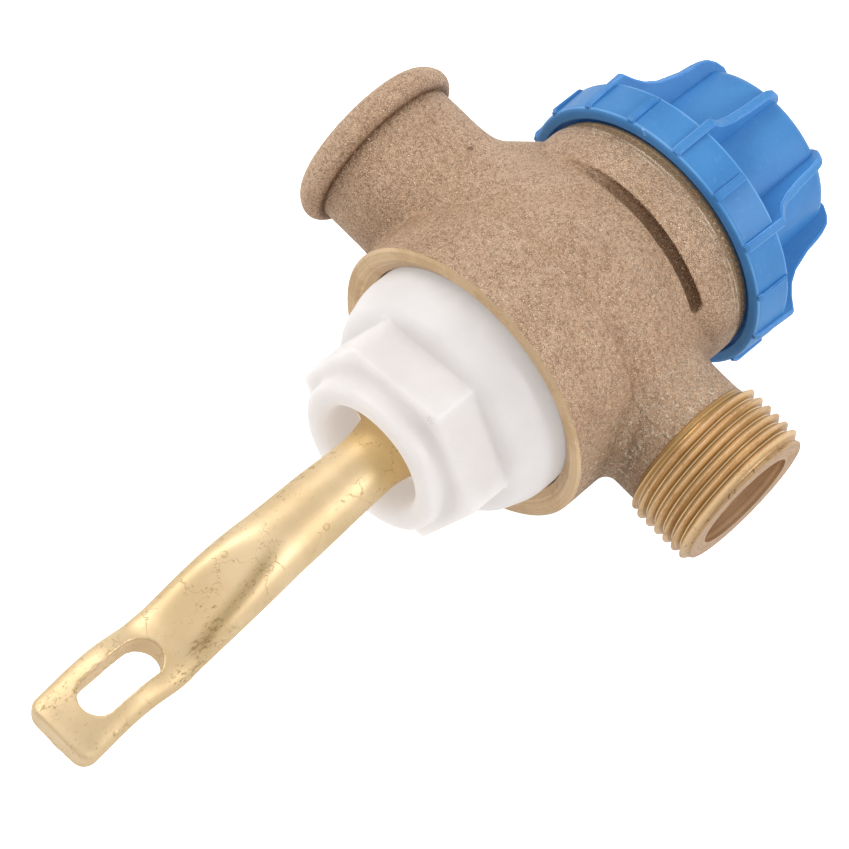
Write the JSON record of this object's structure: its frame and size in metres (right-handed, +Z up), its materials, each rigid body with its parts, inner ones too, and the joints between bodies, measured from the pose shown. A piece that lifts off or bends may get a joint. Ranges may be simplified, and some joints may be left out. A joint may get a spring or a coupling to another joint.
{
  "type": "foot-operated valve",
  "caption": "Self-closing foot-operated water valve: cast bronze body with a beaded inlet and threaded outlet, white plastic hex nut, slotted brass lever and finned blue cap.",
  "frame": {"origin": "on the inlet's axis, where the inlet's thread starts behind its countersink", "axes": "+X runs with the flow from inlet to outlet, +Y along the stem from lever to cap, +Z up"},
  "size_m": [0.0849, 0.1557, 0.0504],
  "materials": {
    "cast_bronze": "sand-cast, machined at the ends",
    "forged_brass": "forged, satin with stains",
    "turned_brass": "turned",
    "white_plastic": "moulded, slightly translucent",
    "blue_plastic": "moulded, satin",
    "stainless": "turned or drawn",
    "rubber": "moulded"
  },
  "bodies": {
    "valve": {"valve_body": "cast_bronze", "seat_ring": "turned_brass", "lever_nut": "white_plastic", "nut_gasket": "rubber", "stem_guide": "turned_brass", "guide_gasket": "rubber", "packing_ring": "turned_brass", "stem_o_ring": "rubber", "return_spring": "stainless", "spring_seat": "turned_brass", "cap": "blue_plastic", "cap_gasket": "rubber"},
    "lever": {"lever": "forged_brass"},
    "plunger": {"thrust_button": "white_plastic", "valve_stem": "stainless", "poppet_holder": "turned_brass", "seat_washer": "rubber", "washer_plate": "turned_brass", "stem_nut": "stainless"}
  },
  "joints": [
    {"name": "lever_tilt", "type": "hinge", "parent": "valve", "child": "lever", "pos_m": [0.0408, -0.0334, 0.01217], "axis": [1, 0, 0], "range_deg": [0, 7], "stiffness_Nm_per_rad": 1.45, "springref_deg": -21.77},
    {"name": "plunger_slide", "type": "slide", "parent": "valve", "child": "plunger", "axis": [0, 1, 0], "range_m": [0, 0.003], "deforming": ["return_spring"]}
  ],
  "couplings": [
    {"joint": "plunger_slide", "follows": "lever_tilt", "m_per_rad": 0.0243}
  ]
}
